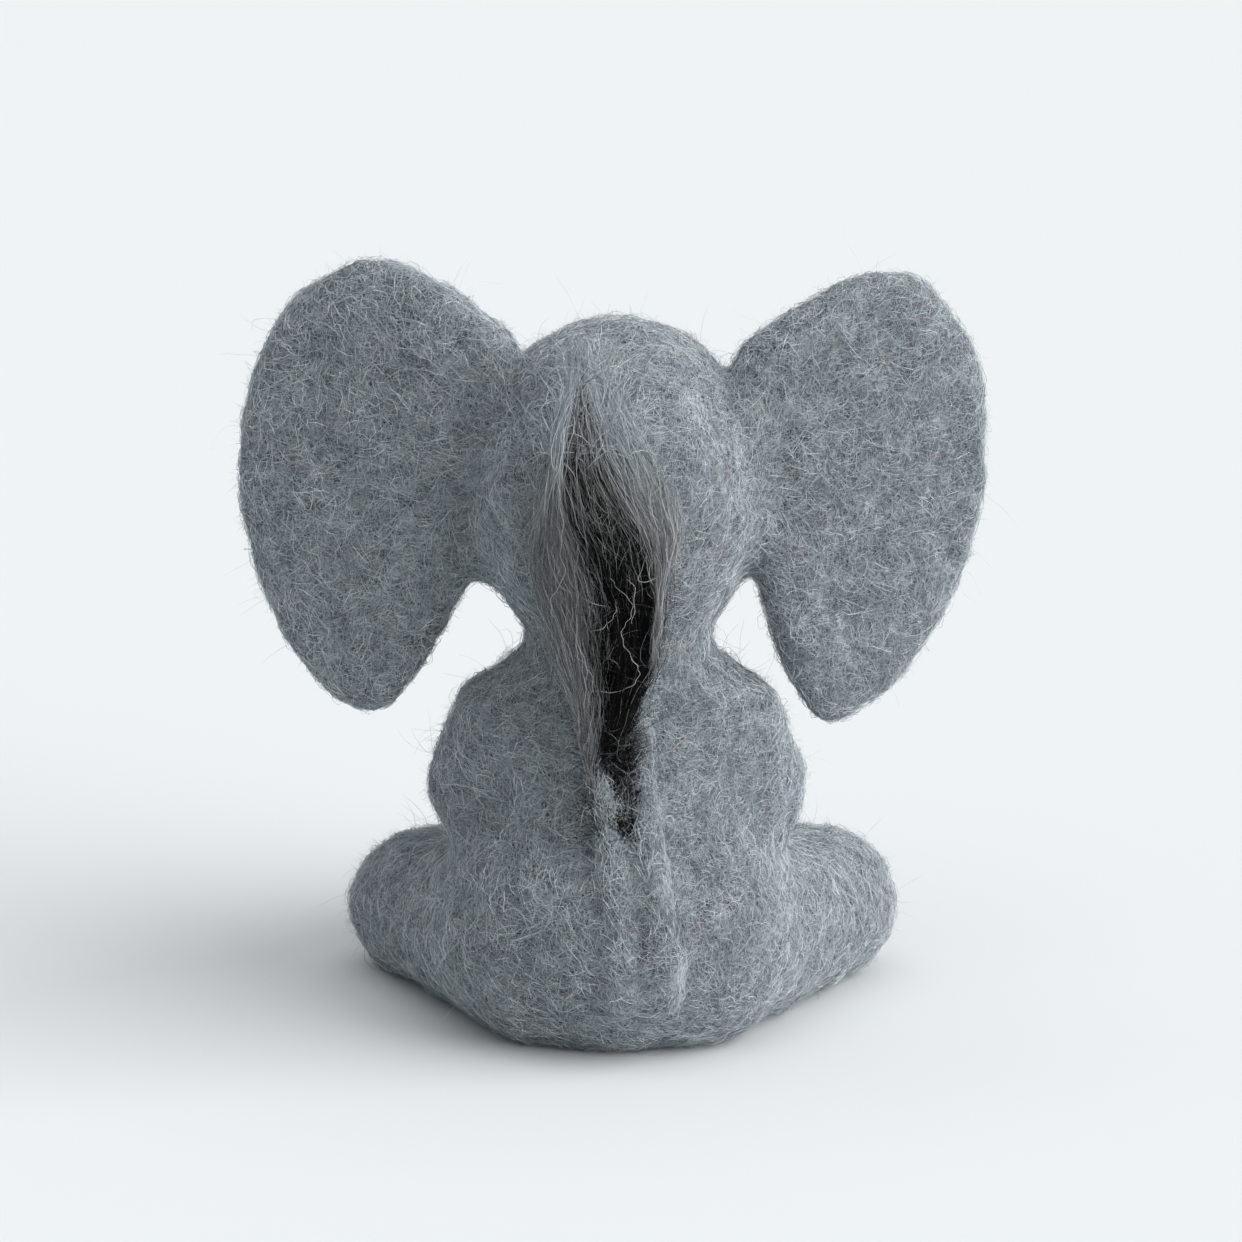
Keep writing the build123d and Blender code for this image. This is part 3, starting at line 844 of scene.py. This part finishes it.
def lock_fur(name, form, sides, count, tints, pick, slot, rng):
    """Short wool all round a lock's body, along it for the most part."""
    points, quads = form
    around = points.shape[1]
    face_corners = points.reshape(-1, 3)[quads]
    normals = np.cross(face_corners[:, 2] - face_corners[:, 0], face_corners[:, 3] - face_corners[:, 1])
    outward = face_corners.mean(1) - points.mean(1)[quads[:, 0] // around]
    normals *= np.sign((normals * outward).sum(1, keepdims=True))
    area = np.linalg.norm(normals, axis=1)
    face = rng.choice(len(quads), count, p=area / area.sum())
    u, v = rng.random((2, count, 1))
    a, b, c, d = face_corners[face].transpose(1, 0, 2)
    places = (a * (1 - u) + b * u) * (1 - v) + (d * (1 - u) + c * u) * v
    normal = unit(normals[face])
    heading = unit(np.array([0.0, 0.0, 1.0]) + rng.normal(0, 0.4, (count, 3)))
    heading = unit(heading - (heading * normal).sum(1, keepdims=True) * normal)
    t = np.linspace(-0.5, 0.5, 6)[None, :, None]
    long = rng.uniform(2.5, 7.0, (count, 1, 1))
    bow = rng.normal(0, 0.24, (count, 1, 1)) * long * (4 * t * t - 1)
    height = rng.gamma(1.6, 0.12, (count, 1, 1)) * (1 - 4 * t * t) + 0.02
    path = (places[:, None] + heading[:, None] * long * t + np.cross(normal, heading)[:, None] * bow
            + normal[:, None] * height)
    ups = np.broadcast_to(normal[:, None], path.shape)
    table = spline(sides, 8)
    left = np.interp(places[:, 2], table[:, 0], table[:, 1])
    right = np.interp(places[:, 2], table[:, 0], table[:, 2])
    across = np.clip((places[:, 0] - left) / np.minimum(right - left, -0.2), 0, 1)
    index = pick(across if name.startswith("left") else 1 - across, places[:, 2], rng)
    add_fibres(name, "tail", slot, path, tapered(count, 6, (0.018, 0.036), rng), ups, index, tints)


def fluff(name, sides, span, count, slant, tints, shares, slot, rng):
    """Short loose fibres that cross the locks every way."""
    table = spline(sides, 8)
    z = rng.uniform(*span, count)
    left, right = np.interp(z, table[:, 0], table[:, 1]), np.interp(z, table[:, 0], table[:, 2])
    x = left + (right - left) * rng.uniform(-0.12, 1.12, count)
    angle = math.pi / 2 + rng.normal(0, slant, count)
    bend = rng.normal(0, 0.35, count)
    step = rng.uniform(1.6, 5.0, count) / 5
    across, heights = [x], [z]
    for _ in range(5):
        angle = angle + bend * step
        x, z = x + np.cos(angle) * step, z + np.sin(angle) * step
        across.append(x)
        heights.append(z)
    arch = np.sin(np.linspace(0.0, 1.0, 6) * math.pi)
    lift = rng.gamma(2.0, 0.16, (count, 1)) * arch + 0.08
    path = lock_place(np.stack(across, 1), np.stack(heights, 1), lift)
    ups = np.broadcast_to(np.array([0.0, 1.0, 0.0]), path.shape)
    index = choose(shares, count, rng)
    add_fibres(name, "tail", slot, path, tapered(count, 6, (0.016, 0.032), rng), ups, index, tints)


def strands(name, sides, count, length, radius, tints, pick, slot, rng, stray=0.0):
    """Combed strands that keep their place across a lock as it widens and narrows."""
    rings = 8
    table = spline(sides, 8)
    bottom, top = table[0, 0], table[-1, 0]
    long = rng.uniform(*length, count)
    middle_z = rng.uniform(bottom - 1.0, top - 1.0, count)
    low_end = bottom + rng.uniform(-3.4, 2.6, count)
    high_end = top + rng.uniform(-3.5, 0.8, count)
    middle_z = np.minimum(np.maximum(middle_z, low_end + long / 2), high_end - long / 2)
    t = np.linspace(-0.5, 0.5, rings)
    z = middle_z[:, None] + long[:, None] * t
    place = rng.beta(0.85, 0.85, (count, 1)) + rng.normal(0, 0.12, (count, 1))
    part = place + rng.normal(0, 0.22, (count, 1)) * t
    left, right = np.interp(z, table[:, 0], table[:, 1]), np.interp(z, table[:, 0], table[:, 2])
    swing = rng.uniform(0.4, 1.3, (count, 1))
    wave = rng.normal(0, 0.17, (count, 1)) * np.sin(rng.uniform(0, 6.28, (count, 1)) + z * swing)
    x = left + (right - left) * part + wave + stray * rng.normal(0, 1, (count, 1)) * t
    lift = rng.gamma(1.6, 0.18, (count, 1)) - 0.15 + 0.14 * np.sin(rng.uniform(0, 6.28, (count, 1)) + z * 0.8)
    ends = stray * np.abs(rng.normal(0, 1.0, (count, 1))) * np.clip(np.abs(t) - 0.3, 0, 1) * 3
    path = lock_place(x, z, lift + ends)
    thin = np.maximum(np.sin(np.linspace(0.12, 0.92, rings) * math.pi), 0.3)
    radii = rng.uniform(*radius, (count, 1)) * thin
    ups = np.broadcast_to(np.array([0.0, 1.0, 0.0]), path.shape)
    add_fibres(name, "tail", slot, path, radii, ups, pick(place[:, 0], middle_z, rng), tints)


def black_tones(place, height, rng):
    """Black, with more of the grey in it towards the top and on the left side."""
    index = choose(BLACK_SHARES, len(place), rng)
    grey = np.clip((height - 55.5) / 17.0, 0.03, 0.75) * (1.1 - 0.5 * place)
    return np.where(rng.random(len(place)) < grey, 3 + choose(BROWN_SHARES, len(place), rng), index)


def side_tones(place, height, rng):
    """Brown-grey wool, with the coat's own grey mixed in towards the top and the outer edge."""
    index = choose(BROWN_SHARES, len(place), rng)
    grey = np.clip((height - 60.0) / 14.0, 0.12, 0.85) + np.clip(0.30 - place, 0, 1)
    return np.where(rng.random(len(place)) < grey, 4 + choose(WOOL_SHARES[:5], len(place), rng), index)


CURLS = [  # single pale hairs over the locks, each as across and height
    [(5.6, 67.4), (6.0, 63.5), (5.7, 60.6), (6.1, 57.8), (5.5, 55.4), (6.9, 52.7), (7.0, 51.2), (6.4, 49.4),
     (4.9, 46.6), (4.6, 45.6)],
    [(5.7, 54.9), (4.7, 52.1), (4.9, 50.0), (4.3, 47.6), (4.2, 46.2), (3.3, 45.3), (2.5, 43.6), (3.0, 41.8),
     (3.2, 40.7)],
    [(2.9, 42.4), (1.9, 42.7), (0.2, 42.5), (-1.2, 43.1), (-2.2, 44.0), (-2.3, 45.2), (-1.6, 46.3),
     (-0.7, 48.0), (-0.5, 49.4), (-1.1, 50.6), (-1.6, 51.7), (-1.3, 53.1), (0.2, 54.5), (0.6, 55.4)],
    [(3.3, 49.2), (1.9, 49.6), (0.8, 50.4), (0.2, 51.6), (0.1, 52.6)],
    [(-0.9, 55.2), (-1.8, 54.6), (-1.8, 51.8), (-1.5, 50.2)],
    [(4.6, 56.6), (4.2, 53.0), (4.4, 49.6), (3.8, 46.2), (3.4, 42.6), (3.6, 39.4)],
    [(-4.1, 68.0), (-4.6, 63.8), (-6.0, 59.8), (-6.4, 57.8), (-6.0, 54.4)],
    [(-3.2, 57.8), (-2.2, 55.2), (-3.4, 55.0), (-4.6, 55.4)],
]


def curls(tints):
    """The pale hairs that lie curled over the black lock."""
    for number, knots in enumerate(CURLS):
        line = spline(knots, 9)
        wobble = 0.10 * np.sin(np.arange(len(line)) * 0.7 + number)
        off = 1.05 + 0.3 * np.cos(np.arange(len(line)) * 0.35 + number)
        for _ in range(6):
            line[1:-1] = (line[:-2] + 2 * line[1:-1] + line[2:]) / 4
        path = lock_place(line[:, 0] + wobble, line[:, 1], off)
        thin = np.maximum(np.sin(np.linspace(0.1, 0.9, len(path)) * math.pi), 0.5)
        radii = np.full((1, len(path)), 0.030) * thin
        ups = np.broadcast_to(np.array([0.0, 1.0, 0.0]), (1, *path.shape))
        add_fibres(f"pale_hair_{number + 1:02d}", "tail", "grey_wool", path[None], radii, ups,
                   np.zeros(1, int), tints)


# ---------------------------------------------------------------- making it

def make_felt():
    parts = felt_parts()
    felt = Felt(parts)
    # its dark colour is painted shade in the gaps and pits between the fibres
    ground = felt_ground("felt_ground", (44, 50, 56), (182, 191, 197))
    wool = tint_set("wool", WOOL_TINTS)
    # the standing fibres take only the three lightest tints: a painted rim highlight
    rim_highlight_fuzz = tint_set("rim_highlight_fuzz", WOOL_TINTS[2:5], sheen=0.6, alpha=HALO_ALPHA)
    for number, (name, part) in enumerate(parts.items()):
        fields = felt.part(name)
        points, quads = skin(fields[0])
        points[:, 2] = np.maximum(points[:, 2], FLOOR_CLEARANCE)
        piece = new_object(f"felt_{name}", points, [quads], [ground])
        settle(piece, part.body, part.bend)
        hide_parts(name)
        rng = np.random.default_rng(100 + number)
        wool_on(name, part, felt, (points, quads), fields, wool, rim_highlight_fuzz, rng)
    return wool


def make_locks(wool):
    black = tint_set("black_wool", BLACK_TINTS, rough=0.7, sheen=0.0)
    brown = tint_set("brown_wool", BROWN_TINTS, rough=0.9, sheen=0.1)
    dark = felt_ground("black_ground", (4, 4, 5), (15, 15, 16))
    grey = felt_ground("brown_ground", (74, 75, 76), (118, 119, 119))
    sable, ash = black + brown, brown + wool[:5]
    black_form = lock_body("black_lock_body", "black_lock", BLACK_SIDES, 3.2, dark)
    left_form = lock_body("left_lock_body", "left_grey_lock", LEFT_SIDES, 2.8, grey)
    right_form = lock_body("right_lock_body", "right_grey_lock", RIGHT_SIDES, 2.8, grey)
    rng = np.random.default_rng(7)
    lock_fur("black_fur", black_form, BLACK_SIDES, 2600, sable, black_tones, "black_wool", rng)
    lock_fur("left_fur", left_form, LEFT_SIDES, 2400, ash, side_tones, "brown_grey_wool", rng)
    lock_fur("right_fur", right_form, RIGHT_SIDES, 2000, ash, side_tones, "brown_grey_wool", rng)
    swapped = [(z, b, a) for z, a, b in RIGHT_SIDES]
    strands("black_strands", BLACK_SIDES, 2800, (5, 14), (0.016, 0.032), sable, black_tones, "black_wool",
            rng, 0.35)
    strands("left_strands", LEFT_SIDES, 3000, (4, 12), (0.013, 0.026), ash, side_tones, "brown_grey_wool",
            rng, 0.3)
    strands("right_strands", swapped, 2200, (4, 11), (0.013, 0.026), ash, side_tones, "brown_grey_wool",
            rng, 0.35)
    whole = [(20.0, 2.0, -2.0), (32.0, 1.9, -1.6), (38.0, 2.6, -1.3), (50.0, 7.0, -4.6), (57.2, 9.1, -5.9),
             (64.9, 7.3, -5.4), (69.5, 6.6, -2.9), (74.5, 5.2, 0.4), (78.0, 4.8, 2.6)]
    fluff("lock_top_fluff", whole, (67.0, 76.5), 1500, 0.7, wool, WOOL_SHARES, "grey_wool", rng)
    fluff("lock_side_fluff", whole, (44.0, 68.0), 500, 0.7, brown, BROWN_SHARES, "brown_grey_wool", rng)
    fluff("lock_end_fluff", whole, (25.5, 38.5), 1500, 0.9, sable, (0.45, 0.25, 0.14, 0.08, 0.08, 0.0, 0.0),
          "black_wool", rng)
    curls(tint_set("pale_hair", [PALE_TINT], rough=0.5))


def finish_cad_nodes():
    wire = hard_finish("soft_wire", (176, 176, 178), 1.0, 0.35, 900.0)
    bead = hard_finish("black_glass", (9, 9, 10), 0.0, 0.06, 300.0)
    core = felt_ground("core_wool", (176, 172, 160), (214, 210, 200))
    for name, node in frame["nodes"].items():
        finish = bead if name.endswith("eye") else wire if name.endswith("wire") else core
        node.data.materials.clear()
        node.data.materials.append(finish)


def make_stage():
    bpy.ops.mesh.primitive_plane_add(size=FLOOR_SIZE)
    floor = bpy.context.object
    floor.name = "floor"
    material = bpy.data.materials.new("pale_floor")
    material.use_nodes = True
    shader = material.node_tree.nodes["Principled BSDF"]
    shader.inputs["Base Color"].default_value = FLOOR_COLOR
    shader.inputs["Roughness"].default_value = 0.9
    shader.inputs["Specular IOR Level"].default_value = 0.1
    floor.data.materials.append(material)


def add_sun(name, energy, spread, toward_camera, height, color):
    """Soft light from the right of the back view, turned towards the camera. All angles in degrees."""
    data = bpy.data.lights.new(name, "SUN")
    data.energy = energy
    data.angle = math.radians(spread)
    data.color = color
    light = bpy.data.objects.new(name, data)
    side, rise = math.radians(toward_camera), math.radians(height)
    toward = Vector((-math.cos(rise) * math.cos(side), math.cos(rise) * math.sin(side), math.sin(rise)))
    light.rotation_euler = toward.to_track_quat("Z", "Y").to_euler()
    bpy.context.scene.collection.objects.link(light)


def make_lights_and_camera():
    middle = Vector((-0.0004, 0.0, 0.53 * cad_box[1].z))
    add_sun("window", 3.9, 62, 19, 25, (1.0, 0.99, 0.975))
    add_sun("overhead", 1.35, 85, 90, 82, (0.97, 0.985, 1.0))
    world = bpy.data.worlds.new("studio")
    world.use_nodes = True
    world.node_tree.nodes["Background"].inputs["Color"].default_value = (0.95, 0.975, 1.0, 1)
    world.node_tree.nodes["Background"].inputs["Strength"].default_value = 0.34
    bpy.context.scene.world = world
    data = bpy.data.cameras.new("camera")
    camera = bpy.data.objects.new("camera", data)
    elevation, distance, frame_width = math.radians(14), 0.57, 0.1366
    data.sensor_width = 36.0
    data.lens = data.sensor_width * distance / frame_width
    camera.location = middle + Vector((0, math.cos(elevation), math.sin(elevation))) * distance
    camera.rotation_euler = (middle - camera.location).to_track_quat("-Z", "Y").to_euler()
    bpy.context.scene.collection.objects.link(camera)
    bpy.context.scene.camera = camera
    bpy.context.scene.view_settings.view_transform = "Standard"


finish_cad_nodes()
make_locks(make_felt())
make_stage()
make_lights_and_camera()
